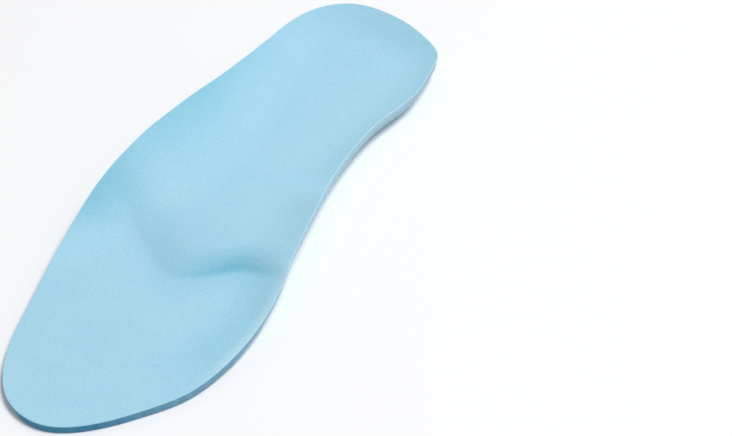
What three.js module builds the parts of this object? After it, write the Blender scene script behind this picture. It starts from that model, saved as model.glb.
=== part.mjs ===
// Left-foot insole for an older foot, in millimetres: a full-length foam cover bonded on a
// three-quarter-length foam base with a heel cup, a raised inner arch and a pad behind the toe joints.
// +Y points to the toes, +X to the inner (big-toe) side, +Z up, and the underside lies on Z = 0.
import * as THREE from 'three';

// Driving dimensions
const LENGTH = 260; // heel back to toe tip
const COVER_THICKNESS = 3.2;
const BOND_GAP = 0.3; // clearance that stands for the bond between cover and base
const BASE_EDGE = 0.8; // thickness left where the base is ground thin along its edge

// Cross sections from heel to toe. station is the distance from the heel back, lateral and medial are
// the outer and inner edge of the outline, the rims are the heights of those edges, and bed is the
// height of the middle of the footbed.
const COLUMN_NAMES = ['station', 'lateral', 'medial', 'lateralRim', 'medialRim', 'bed'];
const SECTIONS = [
  [0, 4.0, 4.0, 13.6, 13.6, 9.4],
  [5, -18.9, 19.7, 13.0, 13.4, 8.8],
  [14, -33.4, 27.5, 11.4, 12.9, 7.8],
  [24, -35.6, 31.0, 10.3, 12.7, 7.2],
  [38, -36.5, 32.6, 9.8, 13.3, 6.9],
  [70, -30.8, 34.5, 9.9, 17.5, 7.2],
  [100, -31.6, 36.5, 10.5, 22.6, 7.2],
  [125, -36.1, 40.1, 11.6, 22.7, 6.8],
  [150, -40.9, 43.9, 11.2, 17.0, 6.0],
  [166, -44.3, 44.7, 9.3, 11.2, 5.3],
  [190, -45.8, 42.4, 6.5, 5.9, 4.9],
  [205, -44.2, 39.4, 5.3, 4.6, 4.6],
  [222, -39.2, 35.7, 4.1, 3.9, 3.8],
  [241, -26.0, 29.0, 3.5, 3.4, 3.3],
  [254, -12.7, 19.2, 3.2, 3.2, 3.2],
  [260, 2.8, 2.8, 3.2, 3.2, 3.2],
].map((row) => Object.fromEntries(COLUMN_NAMES.map((name, column) => [name, row[column]])));

// Rim of the footbed: the surface starts to rise this far in from the edge
const RIM_REACH = 12;
const RIM_SPREAD = 1.5; // extra reach for each millimetre that the rim stands above the bed

// Pad behind the toe joints: a tongue with a short front slope and a long run-up from the heel.
// Its outer side is high and steep, its inner side low and gentle. fallBack is the station at which the
// front edge stops falling back on that side.
const PAD_OUTER = { height: 6.2, slope: 13, fallBack: 159 };
const PAD_INNER = { height: 3.2, slope: 25, fallBack: 148 };
const PAD_CHANGE = 50; // width over which one side turns into the other
const PAD_CENTRE = -1; // across the foot, just to the outer side
const PAD_FRONT = 173.5; // station of the tip of the front edge
const PAD_ROUND = 13; // half width of the rounded tip
const PAD_SWEEP = 13.5; // how strongly the front edge falls back from the tip
const PAD_CORNER = 3; // softness of the bend where it stops falling back
const PAD_FILLET = 0.12; // share of the front slope that is hollowed out at its foot
const PAD_REAR = 85; // station where the run-up begins
const PAD_RUN_UP = 65;

// Front edge of the base: an arc that is furthest forward near the outer side
const BASE_FRONT = 203;
const FRONT_PEAK = 0.15; // place of the furthest point, as a share of the width from the outer edge
const FRONT_SWEEP = 43.6; // how far the arc falls back over a full width

// Flank of the base, from its flat underside up to the thin edge under the rim
const FLANK_WIDTH = 2;
const FLANK_SPREAD = 1.3; // extra width for each millimetre that the flank rises
const FLANK_CURVE = 1.5; // power of the flank's rise, soft at its foot

// Facets
const ACROSS = 22; // strips from the outer to the inner edge
const ROWS_BASE = 48; // rows from the heel to the front edge of the base
const ROWS_TOE = 16; // rows from there to the toe
const EDGE_STEPS = 140; // steps along each side of the outline when the distance to it is measured
const LEAN_STEP = 0.5; // step over which the footbed's slope is measured
const HEEL_CROWDING = 0.1; // share of the length over which the rows crowd at the heel
const TOE_CROWDING = 0.3;
const EDGE_CROWDING = 0.4; // how strongly the strips narrow towards the edges

const clamp = (value) => Math.min(1, Math.max(0, value));
const smooth = (value) => clamp(value) ** 2 * (3 - 2 * clamp(value));
const blend = (from, to, share) => from + (to - from) * share;

// Zero below zero and the value itself above it, with a soft bend between
const rampUp = (value, softness) => (value + Math.hypot(value, softness)) / 2;

// A station as an angle, 0 at the heel and pi at the toe, so that both ends of the outline come out round
const turnOf = (station) => Math.acos(1 - 2 * clamp(station / LENGTH));

// Smooth curve through one column of the sections. Past the heel and the toe it goes on into the column
// of the other side, so that the two sides meet without a corner.
function track(name, otherName) {
  const knots = SECTIONS.map((row) => [turnOf(row.station), row[name]]);
  const beforeToe = SECTIONS.length - 2;
  knots.unshift([-knots[1][0], SECTIONS[1][otherName]]);
  knots.push([2 * Math.PI - turnOf(SECTIONS[beforeToe].station), SECTIONS[beforeToe][otherName]]);
  const steepness = (i) => (knots[i + 1][1] - knots[i][1]) / (knots[i + 1][0] - knots[i][0]);
  const tangent = (i) => {
    const before = knots[i][0] - knots[i - 1][0];
    const after = knots[i + 1][0] - knots[i][0];
    return (steepness(i - 1) * after + steepness(i) * before) / (before + after);
  };
  return (station) => {
    const turn = turnOf(station);
    let i = 1;
    while (i < knots.length - 3 && turn > knots[i + 1][0]) i += 1;
    const span = knots[i + 1][0] - knots[i][0];
    const t = (turn - knots[i][0]) / span;
    const start = knots[i][1] * (1 + 2 * t) + span * tangent(i) * t;
    const end = knots[i + 1][1] * (3 - 2 * t) - span * tangent(i + 1) * (1 - t);
    return start * (1 - t) ** 2 + end * t ** 2;
  };
}

const lateral = track('lateral', 'medial');
const medial = track('medial', 'lateral');
const lateralRim = track('lateralRim', 'medialRim');
const medialRim = track('medialRim', 'lateralRim');
const bed = track('bed', 'bed');

// The outline as a closed loop, heel to toe along the outer side and back along the inner side
const outline = [];
for (let step = 0; step < 2 * EDGE_STEPS; step += 1) {
  const turn = Math.PI * step / EDGE_STEPS;
  const station = LENGTH * (1 - Math.cos(turn)) / 2;
  const outer = step <= EDGE_STEPS;
  const rim = outer ? lateralRim(station) : medialRim(station);
  outline.push({ x: outer ? lateral(station) : medial(station), y: station, rim, rise: rim - bed(station) });
}

// Nearest point of the outline: its distance, the rim's height there and its rise above the bed.
// The distance is negative outside the outline.
function nearestEdge(x, y) {
  let nearest = { distance: Infinity };
  outline.forEach((a, i) => {
    const b = outline[(i + 1) % outline.length];
    const dx = b.x - a.x;
    const dy = b.y - a.y;
    const share = clamp(((x - a.x) * dx + (y - a.y) * dy) / (dx * dx + dy * dy));
    const inside = (x - a.x) * dy >= (y - a.y) * dx;
    const away = Math.hypot(x - a.x - dx * share, y - a.y - dy * share);
    if (away < Math.abs(nearest.distance)) {
      const distance = inside ? away : -away;
      nearest = { distance, rim: blend(a.rim, b.rim, share), rise: blend(a.rise, b.rise, share) };
    }
  });
  return nearest;
}

function padLift(x, y) {
  const side = smooth((x - PAD_CENTRE) / PAD_CHANGE + 0.5);
  const pad = (name) => blend(PAD_OUTER[name], PAD_INNER[name], side);
  const swept = PAD_FRONT - PAD_SWEEP * (Math.hypot(1, (x - PAD_CENTRE) / PAD_ROUND) - 1);
  const front = pad('fallBack') + rampUp(swept - pad('fallBack'), PAD_CORNER);
  const climb = clamp(rampUp((front - y) / pad('slope'), PAD_FILLET));
  return pad('height') * (1 - (1 - climb) ** 2) * smooth((y - PAD_REAR) / PAD_RUN_UP);
}

// Height of the cover's upper face
function footbed(x, y) {
  const edge = nearestEdge(x, y);
  const middle = bed(y) + padLift(x, y);
  const reach = RIM_REACH + RIM_SPREAD * Math.max(0, edge.rise);
  const share = Math.max(0, 1 - edge.distance / reach) ** 2;
  return Math.max(COVER_THICKNESS, blend(middle, edge.rim, share));
}

// Upright thickness of a sheet that lies along the footbed, for each millimetre of its true thickness
function lean(x, y) {
  const slopeX = (footbed(x + LEAN_STEP, y) - footbed(x - LEAN_STEP, y)) / (2 * LEAN_STEP);
  const slopeY = (footbed(x, y + LEAN_STEP) - footbed(x, y - LEAN_STEP)) / (2 * LEAN_STEP);
  return Math.hypot(1, slopeX, slopeY);
}

const coverUnderside = (x, y) => Math.max(0, footbed(x, y) - COVER_THICKNESS * lean(x, y));
const baseTop = (x, y) => footbed(x, y) - (COVER_THICKNESS + BOND_GAP) * lean(x, y);

// Height of the base's lower face: flat on the ground, with a flank that rises to the rim
function baseUnderside(x, y) {
  const edge = nearestEdge(x, y);
  const lip = Math.max(0, edge.rim - COVER_THICKNESS - BOND_GAP - BASE_EDGE);
  const width = FLANK_WIDTH + FLANK_SPREAD * lip;
  const flank = lip * clamp(1 - edge.distance / width) ** FLANK_CURVE;
  return Math.max(0, Math.min(flank, baseTop(x, y) - BASE_EDGE));
}

// Rows of points across the foot. Each end of the outline is a row of one point.
const crowd = (share, crowding) => (Math.hypot(share, crowding) - crowding) / (Math.hypot(1, crowding) - crowding);

function rowAt(stationAt) {
  const points = [];
  for (let strip = 0; strip <= ACROSS; strip += 1) {
    const even = strip / ACROSS;
    const across = blend(even, (1 - Math.cos(Math.PI * even)) / 2, EDGE_CROWDING);
    const y = stationAt(across);
    points.push({ x: blend(lateral(y), medial(y), across), y });
  }
  return points;
}

const frontEdge = (across) => BASE_FRONT - FRONT_SWEEP * (across - FRONT_PEAK) ** 2;
const baseRows = [[{ x: lateral(0), y: 0 }]];
for (let row = 1; row <= ROWS_BASE; row += 1) {
  const share = crowd(row / ROWS_BASE, HEEL_CROWDING);
  baseRows.push(rowAt((across) => frontEdge(across) * share));
}
const toeRows = [];
for (let row = 1; row < ROWS_TOE; row += 1) {
  const share = 1 - crowd(1 - row / ROWS_TOE, TOE_CROWDING);
  toeRows.push(rowAt((across) => blend(frontEdge(across), LENGTH, share)));
}
toeRows.push([{ x: lateral(LENGTH), y: LENGTH }]);

// Closed solid over the rows, between a lower and an upper height function, centred on the outline
const edgesX = outline.map((point) => point.x);
const middleX = (Math.min(...edgesX) + Math.max(...edgesX)) / 2;

function sheetSolid(rows, upper, lower) {
  const points = rows.flat();
  const place = (height) => points.flatMap(({ x, y }) => [x - middleX, y - LENGTH / 2, height(x, y)]);
  const positions = [...place(upper), ...place(lower)];
  const below = points.length;
  const index = [];
  let first = 0;
  const loop = { outer: [], inner: [] };
  rows.forEach((row, i) => {
    const last = first + row.length - 1;
    loop.outer.push(first);
    if (row.length > 1) loop.inner.unshift(last);
    const next = rows[i + 1];
    if (!next) return;
    const nextFirst = last + 1;
    const strips = Math.max(row.length, next.length) - 1;
    for (let strip = 0; strip < strips; strip += 1) {
      const a = first + Math.min(strip, row.length - 1);
      const b = first + Math.min(strip + 1, row.length - 1);
      const c = nextFirst + Math.min(strip, next.length - 1);
      const d = nextFirst + Math.min(strip + 1, next.length - 1);
      if (a !== b) index.push(a, b, d, below + a, below + d, below + b);
      if (c !== d) index.push(a, d, c, below + a, below + c, below + d);
    }
    first = nextFirst;
  });
  const lastRow = rows[rows.length - 1];
  const acrossFront = lastRow.slice(1, -1).map((_, i) => first + 1 + i);
  const around = [...loop.outer, ...acrossFront, ...loop.inner];
  around.forEach((a, i) => {
    const b = around[(i + 1) % around.length];
    index.push(a, b, below + b, a, below + b, below + a);
  });
  const geometry = new THREE.BufferGeometry();
  geometry.setAttribute('position', new THREE.Float32BufferAttribute(positions, 3));
  geometry.setIndex(index);
  geometry.computeVertexNormals();
  return geometry;
}

// Full-length cover sheet of soft closed-cell foam
const coverFoam = new THREE.MeshStandardMaterial({ color: 0xa9d6ea, roughness: 0.85, metalness: 0 });
const topCover = new THREE.Mesh(sheetSolid([...baseRows, ...toeRows], footbed, coverUnderside), coverFoam);
topCover.name = 'top_cover';

// Three-quarter-length base of firmer foam, with the arch and the pad moulded in
const baseFoam = new THREE.MeshStandardMaterial({ color: 0xb4d8e8, roughness: 0.95, metalness: 0 });
const supportBase = new THREE.Mesh(sheetSolid(baseRows, baseTop, baseUnderside), baseFoam);
supportBase.name = 'support_base';

const insole = new THREE.Group();
insole.add(topCover, supportBase);

export default insole;
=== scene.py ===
# Left-foot foam insole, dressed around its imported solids. +Y is toe-ward, +X the inner side, +Z up.
# Sizes of the foam are in millimetres, as they would be on a maker's drawing, and MM turns them into metres.
import math

import bmesh
import bpy
import numpy as np
from mathutils import Matrix, Vector, noise


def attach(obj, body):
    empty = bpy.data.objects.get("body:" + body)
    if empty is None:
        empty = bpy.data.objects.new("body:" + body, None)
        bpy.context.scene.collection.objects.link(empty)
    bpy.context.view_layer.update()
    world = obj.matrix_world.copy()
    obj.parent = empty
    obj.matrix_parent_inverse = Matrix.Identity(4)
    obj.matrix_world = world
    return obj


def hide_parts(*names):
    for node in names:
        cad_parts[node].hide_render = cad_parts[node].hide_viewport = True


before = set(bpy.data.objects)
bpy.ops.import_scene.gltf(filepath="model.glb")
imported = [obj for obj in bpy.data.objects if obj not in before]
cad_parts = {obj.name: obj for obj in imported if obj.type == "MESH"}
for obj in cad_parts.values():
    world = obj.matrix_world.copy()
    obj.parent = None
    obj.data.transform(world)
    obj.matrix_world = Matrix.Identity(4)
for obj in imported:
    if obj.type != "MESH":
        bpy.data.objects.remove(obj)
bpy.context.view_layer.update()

# Support base
# A three-quarter-length block of firm closed-cell foam, moulded with a heel cup, an inner arch and a pad
# behind the toe joints, then ground: flat underneath, with flanks that run up to a thin edge.
# It is cut off behind the toes in a slightly ragged arc and bonded under the cover.
MM = 0.001
LENGTH = 260.0
COVER_THICKNESS = 3.2
BOND_LINE = 0.12
# Distance from the heel back, outer and inner edge, height of the two rims, height of the bed between them
SECTION_COLUMNS = ("station", "lateral", "medial", "lateral_rim", "medial_rim", "bed")
SECTIONS = (
    (0, 4.0, 4.0, 13.6, 13.6, 9.4),
    (5, -18.9, 19.7, 13.0, 13.4, 8.8),
    (14, -33.4, 27.5, 11.4, 12.9, 7.8),
    (24, -35.6, 31.0, 10.3, 12.7, 7.2),
    (38, -36.5, 32.6, 9.8, 13.3, 6.9),
    (70, -30.8, 34.5, 9.9, 17.5, 7.2),
    (100, -31.6, 36.5, 10.5, 22.6, 7.2),
    (125, -36.1, 40.1, 11.6, 22.7, 6.8),
    (150, -40.9, 43.9, 11.2, 17.0, 6.0),
    (166, -44.3, 44.7, 9.3, 11.2, 5.3),
    (190, -45.8, 42.4, 6.5, 5.9, 4.9),
    (205, -44.2, 39.4, 5.3, 4.6, 4.6),
    (222, -39.2, 35.7, 4.1, 3.9, 3.8),
    (241, -26.0, 29.0, 3.5, 3.4, 3.3),
    (254, -12.7, 19.2, 3.2, 3.2, 3.2),
    (260, 2.8, 2.8, 3.2, 3.2, 3.2),
)
# The bed rises to a rim over the reach, which is longer where the rim is higher
RIM_REACH = 12.0
RIM_SPREAD = 1.5
# The pad behind the toe joints is high and steep on the outer side, low and drawn out on the inner side
PAD_OUTER = {"height": 6.2, "slope": 13.0, "fall_back": 159.0}
PAD_INNER = {"height": 3.2, "slope": 25.0, "fall_back": 148.0}
PAD_CHANGE = 50.0
PAD_CENTRE = -1.0
PAD_FRONT = 173.5
PAD_ROUND = 13.0
PAD_SWEEP = 13.5
PAD_CORNER = 3.0
PAD_FILLET = 0.12
PAD_REAR = 85.0
PAD_RUN_UP = 65.0
# The front cut of the base is an arc, furthest forward at its peak, a share of the way across
BASE_FRONT = 203.0
FRONT_PEAK = 0.15
FRONT_SWEEP = 43.6
# The ground flanks widen with the height of the edge above the floor
FLANK_WIDTH = 2.0
FLANK_SPREAD = 1.3
FLANK_CURVE = 1.5
# Fineness of the outline and of the grid over the foot, which is closer-meshed at its borders
EDGE_STEPS = 200
STRIPS = 96
ROWS_BASE = 220
ROWS_TOE = 84
SIDE_CROWDING = 0.4
HEEL_CROWDING = 0.1
TOE_CROWDING = 0.3
# Places looked up at once, to spare memory, and the step over which a slope is taken
PLACES_AT_ONCE = 4000
SLOPE_STEP = 0.5


def turn_of(station):
    return np.arccos(1 - 2 * np.clip(np.asarray(station, float) / LENGTH, 0, 1))


def track(name, other_name):
    """Smooth curve through one column of the sections, which goes on into the other side's at each end."""
    columns = dict(zip(SECTION_COLUMNS, np.array(SECTIONS).T))
    turns = turn_of(columns["station"])
    values = columns[name]
    others = columns[other_name]
    knots = np.concatenate(([-turns[1]], turns, [2 * math.pi - turns[-2]]))
    heights = np.concatenate(([others[1]], values, [others[-2]]))
    spans = np.diff(knots)
    steepness = np.diff(heights) / spans
    tangents = (steepness[:-1] * spans[1:] + steepness[1:] * spans[:-1]) / (spans[:-1] + spans[1:])

    def at(station):
        turn = turn_of(station)
        i = np.clip(np.searchsorted(turns, turn, side="right") - 1, 0, len(turns) - 2)
        span = turns[i + 1] - turns[i]
        t = (turn - turns[i]) / span
        start = values[i] * (1 + 2 * t) + span * tangents[i] * t
        end = values[i + 1] * (3 - 2 * t) - span * tangents[i + 1] * (1 - t)
        return start * (1 - t) ** 2 + end * t**2

    return at


lateral = track("lateral", "medial")
medial = track("medial", "lateral")
lateral_rim = track("lateral_rim", "medial_rim")
medial_rim = track("medial_rim", "lateral_rim")
bed = track("bed", "bed")


def smooth(value):
    share = np.clip(value, 0, 1)
    return share**2 * (3 - 2 * share)


def blend(start, end, share):
    return start + (end - start) * share


def make_outline():
    turns = np.linspace(0, 2 * math.pi, 2 * EDGE_STEPS, endpoint=False)
    station = LENGTH * (1 - np.cos(turns)) / 2
    outer = turns <= math.pi
    x = np.where(outer, lateral(station), medial(station))
    rim = np.where(outer, lateral_rim(station), medial_rim(station))
    points = np.stack([x, station], axis=1)
    along = np.roll(points, -1, axis=0) - np.roll(points, 1, axis=0)
    out = np.stack([-along[:, 1], along[:, 0]], axis=1)
    out /= np.linalg.norm(out, axis=1, keepdims=True)
    return {"points": points, "out": out, "rim": rim, "rise": rim - bed(station)}


outline = make_outline()


def nearest_edge(x, y):
    """Nearest place of the outline: signed distance, way out, and the rim's height and rise there."""
    start = outline["points"]
    step = np.roll(start, -1, axis=0) - start
    squared = (step**2).sum(axis=1)
    found = {"distance": [], "rim": [], "rise": [], "out": []}
    where = np.stack([x.ravel(), y.ravel()], axis=1)
    for part in np.array_split(where, len(where) // PLACES_AT_ONCE + 1):
        away = part[:, None, :] - start[None]
        share = np.clip((away * step).sum(axis=2) / squared, 0, 1)
        gaps = away - step * share[..., None]
        nearest = (gaps**2).sum(axis=2).argmin(axis=1)
        rows = np.arange(len(part))
        after = (nearest + 1) % len(start)
        share = share[rows, nearest]
        gap = gaps[rows, nearest]
        out = blend(outline["out"][nearest], outline["out"][after], share[:, None])
        inside = np.where((gap * out).sum(axis=1) > 0, -1.0, 1.0)
        found["distance"].append(inside * np.linalg.norm(gap, axis=1))
        found["out"].append(out / np.linalg.norm(out, axis=1, keepdims=True))
        for name in ("rim", "rise"):
            found[name].append(blend(outline[name][nearest], outline[name][after], share))
    flat = {name: np.concatenate(values) for name, values in found.items()}
    return {name: values.reshape(x.shape + values.shape[1:]) for name, values in flat.items()}


def ramp_up(value, softness):
    """Zero below zero and the value itself above it, with a soft bend between."""
    return (value + np.hypot(value, softness)) / 2


def pad_at(x):
    """The pad at a place across the foot: its height, the length of its front slope, and where that ends."""
    side = smooth((x - PAD_CENTRE) / PAD_CHANGE + 0.5)
    pad = {name: blend(PAD_OUTER[name], PAD_INNER[name], side) for name in PAD_OUTER}
    swept = PAD_FRONT - PAD_SWEEP * (np.hypot(1, (x - PAD_CENTRE) / PAD_ROUND) - 1)
    pad["front"] = pad["fall_back"] + ramp_up(swept - pad["fall_back"], PAD_CORNER)
    return pad


def pad_lift(x, y):
    pad = pad_at(x)
    climb = np.clip(ramp_up((pad["front"] - y) / pad["slope"], PAD_FILLET), 0, 1)
    return pad["height"] * (1 - (1 - climb) ** 2) * smooth((y - PAD_REAR) / PAD_RUN_UP)


def footbed(x, y):
    edge = nearest_edge(x, y)
    middle = bed(y) + pad_lift(x, y)
    reach = RIM_REACH + RIM_SPREAD * np.maximum(0, edge["rise"])
    share = np.maximum(0, 1 - edge["distance"] / reach) ** 2
    return np.maximum(COVER_THICKNESS, blend(middle, edge["rim"], share))


def lean(x, y):
    """Upright thickness of a sheet that lies along the footbed, for each millimetre of true thickness."""
    slope_x = (footbed(x + SLOPE_STEP, y) - footbed(x - SLOPE_STEP, y)) / (2 * SLOPE_STEP)
    slope_y = (footbed(x, y + SLOPE_STEP) - footbed(x, y - SLOPE_STEP)) / (2 * SLOPE_STEP)
    return np.sqrt(1 + slope_x**2 + slope_y**2)


def crowd(share, crowding):
    """A share from 0 to 1, slowed down near 0 by the crowding."""
    return (np.hypot(share, crowding) - crowding) / (math.hypot(1, crowding) - crowding)


def rows_across():
    """Grid of places over the foot, with one row along the front edge of the base."""
    even = np.linspace(0, 1, STRIPS + 1)
    across = blend(even, (1 - np.cos(math.pi * even)) / 2, SIDE_CROWDING)
    front = BASE_FRONT - FRONT_SWEEP * (across - FRONT_PEAK) ** 2
    heel_share = crowd(np.linspace(0, 1, ROWS_BASE + 1), HEEL_CROWDING)
    toe_share = 1 - crowd(1 - np.linspace(0, 1, ROWS_TOE + 1)[1:], TOE_CROWDING)
    y = np.concatenate([heel_share[:, None] * front, blend(front, LENGTH, toe_share[:, None])])
    return blend(lateral(y), medial(y), across), y


def around(grid):
    """Values along the border of a grid: up the outer side, across the front, back down the inner side."""
    return np.concatenate([grid[:-1, 0], grid[-1, :-1], grid[:0:-1, -1]])


edges_x = outline["points"][:, 0]
MIDDLE_X = (edges_x.min() + edges_x.max()) / 2


def as_points(x, y, z):
    return np.stack([x - MIDDLE_X, y - LENGTH / 2, z], axis=-1)


# Each seed takes the waves from another place of the noise
SEED_SHIFT = (7.3, 3.1, 5.7)


def ripple(points, size, seed):
    """Smooth random waves between about -1 and 1, as long as the size."""
    shift = Vector([seed * step for step in SEED_SHIFT])
    flat = points.reshape(-1, 3) / size
    heights = [noise.noise(Vector(place) + shift) for place in flat.tolist()]
    return np.array(heights).reshape(points.shape[:-1])


# Rings of the rounded edge, as shares of its upper bend, of the wall under it and of its lower bend
UPPER_BEND_STEPS = (0.25, 0.5, 0.75, 1.0)
WALL_STEPS = (0.33, 0.67)
LOWER_BEND_STEPS = (0.0, 0.25, 0.5, 0.75)
# Strength of a colour mark on each of those rings, from the upper face to the lower one
CREST_RINGS = (0.5, 1.0, 1.0, 0.7, 0.2, 0.0, 0.0, 0.0, 0.0, 0.0)
WALL_RINGS = (0.0, 0.15, 0.5, 1.0, 1.0, 1.0, 1.0, 1.0, 0.8, 0.4)
# Points that meet at the heel and toe tips are welded, in metres
WELD_DISTANCE = 1e-7


def foam_skin(name, upper, lower, corner_up, corner_low, round_up, round_low, marks):
    """Closed skin: an upper and a lower face over one grid, joined by a rounded edge around their border."""

    def bend(start, corner, end, t):
        return start * (1 - t) ** 2 + 2 * corner * t * (1 - t) + end * t**2

    wall_up = blend(corner_up, corner_low, round_up)
    wall_low = blend(corner_low, corner_up, round_low)
    rings = [bend(around(upper), corner_up, wall_up, t) for t in UPPER_BEND_STEPS]
    rings += [blend(wall_up, wall_low, t) for t in WALL_STEPS]
    rings += [bend(wall_low, corner_low, around(lower), t) for t in LOWER_BEND_STEPS]
    rows, columns = upper.shape[:2]
    count = rows * columns
    numbers = np.arange(count).reshape(rows, columns)
    quads = np.stack([numbers[:-1, :-1], numbers[:-1, 1:], numbers[1:, 1:], numbers[1:, :-1]], axis=-1)
    quads = quads.reshape(-1, 4)
    faces = [quads, count + quads[:, ::-1]]
    border = around(numbers)
    first = 2 * count
    chain = [border] + [first + len(border) * i + np.arange(len(border)) for i in range(len(rings))]
    chain.append(count + border)
    for above, below in zip(chain[:-1], chain[1:]):
        faces.append(np.stack([above, np.roll(above, -1), np.roll(below, -1), below], axis=1))
    points = np.concatenate([upper.reshape(-1, 3), lower.reshape(-1, 3)] + rings)
    mesh = bpy.data.meshes.new(name)
    mesh.from_pydata((points * MM).tolist(), [], np.concatenate(faces).tolist())
    for mark, (on_face, on_edge, shares) in marks.items():
        ring_values = [blend(around(on_face), on_edge, share) for share in shares]
        values = np.concatenate([on_face.ravel(), np.zeros(count)] + ring_values)
        mesh.attributes.new(mark, "FLOAT", "POINT").data.foreach_set("value", values)
    shaped = bmesh.new()
    shaped.from_mesh(mesh)
    bmesh.ops.remove_doubles(shaped, verts=shaped.verts, dist=WELD_DISTANCE)
    shaped.to_mesh(mesh)
    shaped.free()
    mesh.polygons.foreach_set("use_smooth", np.ones(len(mesh.polygons), bool))
    piece = bpy.data.objects.new(name, mesh)
    bpy.context.scene.collection.objects.link(piece)
    return piece


# The faces stop short of the sharp outline, which leaves room for the rounded edge
EDGE_ROUND = 0.45
ROUND_FADE = 9.0
# How far the lower edge is ground in from the upper one: station from heel to toe, outer side, inner side
TUCK = (
    (0, 1.0, 1.0),
    (10, 0.8, 0.8),
    (24, 0.85, 0.6),
    (34, 1.3, 0.5),
    (50, 0.3, 0.4),
    (100, 0.2, 0.4),
    (128, 0.6, 0.5),
    (150, 0.8, 0.5),
    (172, 1.1, 0.5),
    (205, 0.4, 0.4),
    (225, 0.0, 0.6),
    (245, 0.0, 1.6),
    (256, 0.0, 1.5),
    (260, 0.0, 0.0),
)
# Thickness of the base's ground edge: station, millimetres
BASE_FEATHER = ((0, 0.8), (120, 0.8), (165, 0.4), (203, 0.3))
# Least width to take a share of, because the foot has none at its heel and toe tips
NARROWEST = 0.01


def by_side(rows, x, y):
    """Value at a place, from rows of station, outer side and inner side."""
    stations, outer, inner = zip(*rows)
    across = smooth((x - lateral(y)) / np.maximum(NARROWEST, medial(y) - lateral(y)))
    return blend(np.interp(y, stations, outer), np.interp(y, stations, inner), across)


def drawn_in(depth):
    """The grid of places, drawn in from the outline by the given depth."""
    return outline_x - grid_edge["out"][..., 0] * depth, outline_y - grid_edge["out"][..., 1] * depth


outline_x, outline_y = rows_across()
grid_edge = nearest_edge(outline_x, outline_y)
edge_fade = np.clip(1 - grid_edge["distance"] / ROUND_FADE, 0, 1) ** 2
tuck = by_side(TUCK, outline_x, outline_y)
grid_x, grid_y = drawn_in(EDGE_ROUND * edge_fade)
grid_z = footbed(grid_x, grid_y)
low_x, low_y = drawn_in((EDGE_ROUND + tuck) * edge_fade)
low_z = footbed(low_x, low_y)
low_lean = lean(low_x, low_y)
tucked_x, tucked_y = drawn_in(tuck)
base_rows = ROWS_BASE + 1


def base_underside(x, y, top_z, tucked):
    edge = nearest_edge(x, y)
    thickness = np.interp(y, *zip(*BASE_FEATHER))
    lip = np.maximum(0, edge["rim"] - COVER_THICKNESS - BOND_LINE - thickness)
    width = FLANK_WIDTH + FLANK_SPREAD * lip
    flank = lip * np.clip(1 - (edge["distance"] - tucked) / width, 0, 1) ** FLANK_CURVE
    return np.maximum(0, np.minimum(flank, top_z - thickness))


base_x = low_x[:base_rows]
base_y = low_y[:base_rows]
sunk = COVER_THICKNESS + BOND_LINE
base_top_z = low_z[:base_rows] - sunk * low_lean[:base_rows]
base_top = as_points(base_x, base_y, base_top_z)
base_low = as_points(base_x, base_y, base_underside(base_x, base_y, base_top_z, tuck[:base_rows]))
# The ground flanks are pebbled, and the flat underside stays flat
PEBBLE_SIZE = 3.2
PEBBLE_DEPTH = 0.05
PEBBLE_SEED = 3
PEBBLED_ABOVE = 0.3
raised = base_low[..., 2] > PEBBLED_ABOVE
base_low[..., 2] += raised * PEBBLE_DEPTH * ripple(base_low, PEBBLE_SIZE, PEBBLE_SEED)

# The front cut stands a little ahead of its arc and is ragged in two sizes
CUT_FORWARD = 0.4
CUT_RAGGED = 0.35
RAGGED_SIZE = 5.0
RAGGED_SEED = 1
FINE_RAGGED_SHARE = 0.6
FINE_RAGGED_SIZE = 1.7
FINE_RAGGED_SEED = 2
# Shares of the edge's height that its upper and its lower bend take
BASE_ROUND_UP = 0.2
BASE_ROUND_LOW = 0.4
rim_x = around(tucked_x[:base_rows])
rim_y = around(tucked_y[:base_rows])
rim_top_z = footbed(rim_x, rim_y) - sunk * lean(rim_x, rim_y)
rim_low_z = base_underside(rim_x, rim_y, rim_top_z, around(tuck[:base_rows]))
front_mark = np.zeros((base_rows, STRIPS + 1))
front_mark[-1] = 1
at_front = around(front_mark)
rim_flat = as_points(rim_x, rim_y, np.zeros_like(rim_x))
ragged = ripple(rim_flat, RAGGED_SIZE, RAGGED_SEED)
ragged += FINE_RAGGED_SHARE * ripple(rim_flat, FINE_RAGGED_SIZE, FINE_RAGGED_SEED)
rim_y = rim_y + at_front * (CUT_FORWARD + CUT_RAGGED * ragged)
base_corners = as_points(rim_x, rim_y, rim_top_z), as_points(rim_x, rim_y, rim_low_z)
no_face_mark = np.zeros((base_rows, STRIPS + 1))
# The front cut's deep blue is partly the cut foam's own colour and partly painted shade
base_marks = {
    "ground_edge": (no_face_mark, 1 - at_front, WALL_RINGS),
    "cut_edge": (no_face_mark, at_front, WALL_RINGS),
}
foam_base = foam_skin(
    "foam_base", base_top, base_low, *base_corners, BASE_ROUND_UP, BASE_ROUND_LOW, base_marks
)

# Slow drift between the pale and the deep colour, and the share of the foam that fine specks darken
DRIFT_SIZE = 30.0
DRIFT_DETAIL = 2
DRIFT_RANGE = (0.3, 0.7)
SPECK_RANGE = (0.42, 0.72)
FINE_DETAIL = 3
# How matt the foam is, and how far light soaks into it
FOAM_ROUGHNESS = 0.8
FOAM_SHINE = 0.3
SOAK_SHARE = 0.1
SOAK_BY_COLOUR = (0.4, 0.8, 1.0)
SOAK_DEPTH = 1.5


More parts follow.
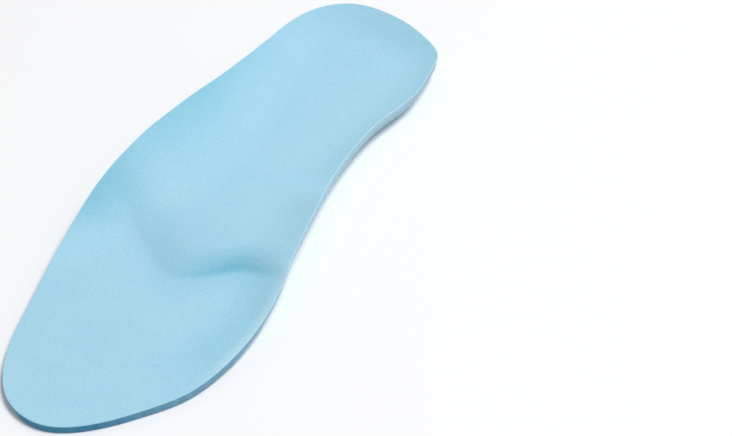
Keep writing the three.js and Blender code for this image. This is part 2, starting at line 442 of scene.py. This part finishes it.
def foam_material(name, pale, deep, specks, mark_colours, grain, pebbles):
    """Matt closed-cell foam: drifting colour, marks on its edges, fine specks, grain over pebbles."""
    material = bpy.data.materials.new(name)
    material.use_nodes = True
    nodes = material.node_tree.nodes
    link = material.node_tree.links.new
    shader = nodes["Principled BSDF"]
    place = nodes.new("ShaderNodeTexCoord").outputs["Object"]

    def noise_of(size, detail):
        texture = nodes.new("ShaderNodeTexNoise")
        texture.inputs["Scale"].default_value = 1 / (size * MM)
        texture.inputs["Detail"].default_value = detail
        link(place, texture.inputs["Vector"])
        return texture.outputs["Fac"]

    def spread(factor, low, high):
        ramp = nodes.new("ShaderNodeMapRange")
        ramp.inputs["From Min"].default_value = low
        ramp.inputs["From Max"].default_value = high
        link(factor, ramp.inputs["Value"])
        return ramp.outputs["Result"]

    def mixed(factor, first, second, how="MIX"):
        mix = nodes.new("ShaderNodeMix")
        mix.data_type = "RGBA"
        mix.blend_type = how
        link(factor, mix.inputs["Factor"])
        for value, side in ((first, "A"), (second, "B")):
            socket = next(s for s in mix.inputs if s.name == side and s.type == "RGBA")
            if isinstance(value, tuple):
                socket.default_value = (*value, 1)
            else:
                link(value, socket)
        return next(s for s in mix.outputs if s.type == "RGBA")

    def bumped(height, depth, normal):
        bump = nodes.new("ShaderNodeBump")
        bump.inputs["Distance"].default_value = depth * MM
        link(height, bump.inputs["Height"])
        if normal:
            link(normal, bump.inputs["Normal"])
        return bump.outputs["Normal"]

    colour = mixed(spread(noise_of(DRIFT_SIZE, DRIFT_DETAIL), *DRIFT_RANGE), pale, deep)
    for mark, mark_colour in mark_colours.items():
        strength = nodes.new("ShaderNodeAttribute")
        strength.attribute_name = mark
        colour = mixed(strength.outputs["Fac"], colour, mark_colour)
    speckling = spread(noise_of(specks["size"], FINE_DETAIL), *SPECK_RANGE)
    speckled = mixed(speckling, colour, specks["tone"], "MULTIPLY")
    link(speckled, shader.inputs["Base Color"])
    shader.inputs["Roughness"].default_value = FOAM_ROUGHNESS
    shader.inputs["Specular IOR Level"].default_value = FOAM_SHINE
    shader.inputs["Subsurface Weight"].default_value = SOAK_SHARE
    shader.inputs["Subsurface Radius"].default_value = SOAK_BY_COLOUR
    shader.inputs["Subsurface Scale"].default_value = SOAK_DEPTH * MM
    cells = nodes.new("ShaderNodeTexVoronoi")
    cells.feature = "SMOOTH_F1"
    cells.inputs["Scale"].default_value = 1 / (pebbles["size"] * MM)
    link(place, cells.inputs["Vector"])
    pebbled = bumped(cells.outputs["Distance"], pebbles["depth"], None)
    grained = bumped(noise_of(grain["size"], FINE_DETAIL), grain["depth"], pebbled)
    link(grained, shader.inputs["Normal"])
    return material


BASE_PALE = (0.46, 0.68, 0.80)
BASE_DEEP = (0.42, 0.65, 0.78)
# The cut-edge colour is partly the foam's own deep blue and partly painted shade
base_mark_colours = {"ground_edge": (0.45, 0.66, 0.77), "cut_edge": (0.14, 0.38, 0.54)}
base_specks = {"size": 1.2, "tone": (0.84, 0.89, 0.92)}
base_grain = {"size": 0.5, "depth": 0.10}
base_pebbles = {"size": 1.3, "depth": 0.25}
base_foam = foam_material(
    "ground_base_foam", BASE_PALE, BASE_DEEP, base_specks, base_mark_colours, base_grain, base_pebbles
)
foam_base.data.materials.append(base_foam)
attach(foam_base, "root")
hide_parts("support_base")

# Top cover
# A full-length sheet of soft, fine-celled foam with a smooth skin, the face that the foot rests on.
# It is heat-formed over the base and bonded to it. Along the base its edge is ground with the base's own,
# which leaves its wall dull, and its crest is pale with a painted highlight. Round the toes it is die-cut and
# dense, and its deep blue there is partly the cut foam's own colour and partly painted shade.
# Slight waves of the skin
WAVE_SIZE = 14.0
WAVE_DEPTH = 0.05
WAVE_SEED = 4
# Depth of the die-cut edge's blue, partly its own colour and partly painted shade that deepens towards the
# toe: station from heel to toe, outer side, inner side
CUT_BLUE_AND_SHADE = (
    (160, 0.0, 0.0),
    (178, 0.26, 0.26),
    (190, 0.56, 0.56),
    (205, 0.66, 0.66),
    (228, 0.71, 0.71),
    (242, 0.82, 0.70),
    (251, 1.0, 0.72),
    (257, 1.0, 0.85),
    (260, 1.0, 1.0),
)
CUT_MOTTLE = 0.14
CUT_MOTTLE_SIZE = 2.4
MOTTLE_SEED = 5
# Painted shade: deeper blue with the lean of the bed and on the fall of the pad's front
FULL_SLOPE_SHADE = 0.55
SLOPE_SHADE_CURVE = 1.5
FALL_STEP = 1.0
FALL_FROM = 0.15
FULL_FALL = 0.45
FALL_SHADE = 0.15
# Painted highlight along the crest of the outer lip, and painted shade in the hollow behind it
LIP_WIDTH = 5.0
LIP_HIGHLIGHT = 0.6
LIP_START = 145.0
LIP_START_FADE = 22.0
LIP_END = 225.0
LIP_END_FADE = 25.0
HOLLOW_WIDTH = 22.0
HOLLOW_START = 158.0
HOLLOW_START_FADE = 14.0
HOLLOW_SHADE = 0.16
# Painted shade at the foot of the pad, which fades ahead of it, to the inner side and to the outer edge
FOOT_SHADE = 0.27
FOOT_START = 3.0
FOOT_FADE = 7.0
FOOT_INNER_END = 15.0
FOOT_FADE_ACROSS = 28.0
FOOT_FROM_EDGE = 14.0
# Painted shade in a strip along the outer rim beside the pad
RIM_SHADE_WIDTH = 24.0
RIM_SHADE_FROM = 108.0
RIM_SHADE_TO = 164.0
RIM_SHADE_FADE = 16.0
# Crease of the underside, ahead of the base
CREASE_AHEAD = 5.5
CREASE_WIDTH = 1.1
CREASE_DEPTH = 0.12
# Shares of the edge's height that its upper and its lower bend take
COVER_ROUND_UP = 0.15
COVER_ROUND_LOW = 0.12
waves = WAVE_DEPTH * ripple(as_points(grid_x, grid_y, grid_z), WAVE_SIZE, WAVE_SEED)
cover_top = as_points(grid_x, grid_y, grid_z + waves)
# Bending over the front edge of the base leaves a faint crease in the underside, a little way ahead of it
ahead = low_y - outline_y[base_rows - 1] - CREASE_AHEAD
crease = CREASE_DEPTH * np.exp(-((ahead / CREASE_WIDTH) ** 2))
cover_low = as_points(low_x, low_y, np.maximum(0, low_z - COVER_THICKNESS * low_lean) + crease)
border_x = around(outline_x)
border_y = around(outline_y)
border_z = footbed(border_x, border_y)
hem_x = around(tucked_x)
hem_y = around(tucked_y)
hem_z = np.maximum(0, footbed(hem_x, hem_y) - COVER_THICKNESS * lean(hem_x, hem_y))
cover_corners = as_points(border_x, border_y, border_z), as_points(hem_x, hem_y, hem_z)
mottle = 1 + CUT_MOTTLE * ripple(cover_corners[1], CUT_MOTTLE_SIZE, MOTTLE_SEED)
die_cut_and_shade = np.clip(by_side(CUT_BLUE_AND_SHADE, border_x, border_y) * mottle, 0, 1)
# Painted shade deepens the blue on slopes, at the foot of the pad and in the hollow behind the outer lip,
# and a painted highlight makes the crest of that lip pale
slope_shade = np.clip((lean(grid_x, grid_y) - 1) / FULL_SLOPE_SHADE, 0, 1) ** SLOPE_SHADE_CURVE
drop = (footbed(grid_x, grid_y - FALL_STEP) - footbed(grid_x, grid_y + FALL_STEP)) / (2 * FALL_STEP)
fall = drop * smooth((grid_y - PAD_REAR) / PAD_RUN_UP)
from_edge = grid_edge["distance"]
along_lip = smooth((LIP_END - grid_y) / LIP_END_FADE) * (grid_x < 0)
lip_highlight_along = LIP_HIGHLIGHT * along_lip * smooth((grid_y - LIP_START) / LIP_START_FADE)
lip_highlight = lip_highlight_along * smooth(1 - from_edge / LIP_WIDTH)
hollow_along = along_lip * smooth((grid_y - HOLLOW_START) / HOLLOW_START_FADE)
hollow_shade = hollow_along * smooth(from_edge / LIP_WIDTH) * smooth(2 - 2 * from_edge / HOLLOW_WIDTH)
fall_shade = smooth((fall - FALL_FROM) / (FULL_FALL - FALL_FROM))
past_pad = grid_y - pad_at(grid_x)["front"]
foot_across = smooth((FOOT_INNER_END - grid_x) / FOOT_FADE_ACROSS) * smooth(from_edge / FOOT_FROM_EDGE)
foot = foot_across * smooth(past_pad / FOOT_START + 1) * np.exp(-np.maximum(0, past_pad) / FOOT_FADE)
formed = np.clip(slope_shade + FALL_SHADE * fall_shade + HOLLOW_SHADE * hollow_shade + FOOT_SHADE * foot, 0, 1)
# Beside the pad a strip along the outer rim is painted a little darker, as painted shade
rim_shade_along = smooth((grid_y - RIM_SHADE_FROM) / RIM_SHADE_FADE) * smooth((RIM_SHADE_TO - grid_y) / RIM_SHADE_FADE)
pressed = rim_shade_along * smooth(1 - from_edge / RIM_SHADE_WIDTH) * (grid_x < 0)
no_face_mark = np.zeros(grid_x.shape)
cover_marks = {
    "formed": (formed, np.zeros_like(die_cut_and_shade), WALL_RINGS),
    "pressed": (pressed, around(pressed), CREST_RINGS),
    "crest": (lip_highlight, 1 - die_cut_and_shade, CREST_RINGS),
    "ground_edge": (no_face_mark, 1 - die_cut_and_shade, WALL_RINGS),
    # The die-cut edge's deep blue is partly the cut foam's own colour and partly painted shade
    "cut_edge": (no_face_mark, die_cut_and_shade, WALL_RINGS),
}
foam_cover = foam_skin(
    "foam_cover", cover_top, cover_low, *cover_corners, COVER_ROUND_UP, COVER_ROUND_LOW, cover_marks
)

COVER_PALE = (0.415, 0.70, 0.84)
COVER_DEEP = (0.39, 0.68, 0.83)
cover_mark_colours = {
    # Painted shade on slopes, at the pad's foot and in the hollow behind the outer lip
    "formed": (0.12, 0.48, 0.64),
    # Painted shade along the outer rim beside the pad
    "pressed": (0.36, 0.62, 0.755),
    # Painted highlight on the crests of the ground edges and of the outer lip
    "crest": (0.55, 0.78, 0.89),
    "ground_edge": (0.43, 0.65, 0.76),
    # Die-cut edge: partly the cut foam's own deep blue, partly painted shade
    "cut_edge": (0.055, 0.24, 0.40),
}
cover_specks = {"size": 1.1, "tone": (0.90, 0.935, 0.95)}
cover_grain = {"size": 0.45, "depth": 0.05}
cover_pebbles = {"size": 1.6, "depth": 0.06}
cover_foam = foam_material(
    "skinned_cover_foam", COVER_PALE, COVER_DEEP, cover_specks, cover_mark_colours, cover_grain, cover_pebbles
)
foam_cover.data.materials.append(cover_foam)
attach(foam_cover, "root")
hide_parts("top_cover")

# Floor, light and camera
# A plain pale floor under bright, soft studio light: a broad lamp above the heel and outer side, and an
# even fill from all round. The camera looks down from the toe and outer side.
FLOOR_HALF = 4.0
FLOOR_DROP = 0.00005
FLOOR_COLOUR = (0.96, 0.96, 0.965, 1)
FLOOR_ROUGHNESS = 0.9
FLOOR_SHINE = 0.1
corner_sides = ((-1, -1), (1, -1), (1, 1), (-1, 1))
floor_corners = [(x * FLOOR_HALF, y * FLOOR_HALF, -FLOOR_DROP) for x, y in corner_sides]
floor_mesh = bpy.data.meshes.new("floor")
floor_mesh.from_pydata(floor_corners, [], [(0, 1, 2, 3)])
floor = bpy.data.objects.new("floor", floor_mesh)
bpy.context.scene.collection.objects.link(floor)
floor_paint = bpy.data.materials.new("pale_floor")
floor_paint.use_nodes = True
floor_shader = floor_paint.node_tree.nodes["Principled BSDF"]
floor_shader.inputs["Base Color"].default_value = FLOOR_COLOUR
floor_shader.inputs["Roughness"].default_value = FLOOR_ROUGHNESS
floor_shader.inputs["Specular IOR Level"].default_value = FLOOR_SHINE
floor_mesh.materials.append(floor_paint)

FILL_COLOUR = (0.97, 0.985, 1.0, 1)
FILL_STRENGTH = 0.42
world = bpy.data.worlds.new("studio")
world.use_nodes = True
fill_light = world.node_tree.nodes["Background"]
fill_light.inputs["Color"].default_value = FILL_COLOUR
fill_light.inputs["Strength"].default_value = FILL_STRENGTH
bpy.context.scene.world = world

KEY_PLACE = Vector((-0.90, -0.36, 2.35))
KEY_SIZE = 1.2
KEY_WATTS = 43
lamp = bpy.data.lights.new("key_lamp", "AREA")
lamp.shape = "DISK"
lamp.size = KEY_SIZE
lamp.energy = KEY_WATTS
key_lamp = bpy.data.objects.new("key_lamp", lamp)
key_lamp.location = KEY_PLACE
key_lamp.rotation_mode = "QUATERNION"
key_lamp.rotation_quaternion = (-KEY_PLACE).to_track_quat("-Z", "Y")
bpy.context.scene.collection.objects.link(key_lamp)

VIEW_AZIMUTH = math.radians(-151.5)
VIEW_ELEVATION = math.radians(40.6)
VIEW_ROLL = math.radians(-1.42)
VIEW_AIM = Vector((-0.0480, -0.0230, 0.0))
VIEW_DISTANCE = 1.001
SENSOR_WIDTH = 36.0
FOCAL_LENGTH = 127.9
camera_data = bpy.data.cameras.new("camera")
camera_data.sensor_width = SENSOR_WIDTH
camera_data.lens = FOCAL_LENGTH
camera = bpy.data.objects.new("camera", camera_data)
level_back = Vector((math.sin(VIEW_AZIMUTH), -math.cos(VIEW_AZIMUTH), 0.0)) * math.cos(VIEW_ELEVATION)
back = level_back + Vector((0.0, 0.0, math.sin(VIEW_ELEVATION)))
roll = Matrix.Rotation(VIEW_ROLL, 3, "Z").to_quaternion()
camera.rotation_mode = "QUATERNION"
camera.rotation_quaternion = (-back).to_track_quat("-Z", "Y") @ roll
camera.location = VIEW_AIM + back * VIEW_DISTANCE
bpy.context.scene.collection.objects.link(camera)
bpy.context.scene.camera = camera
bpy.context.scene.view_settings.view_transform = "Standard"
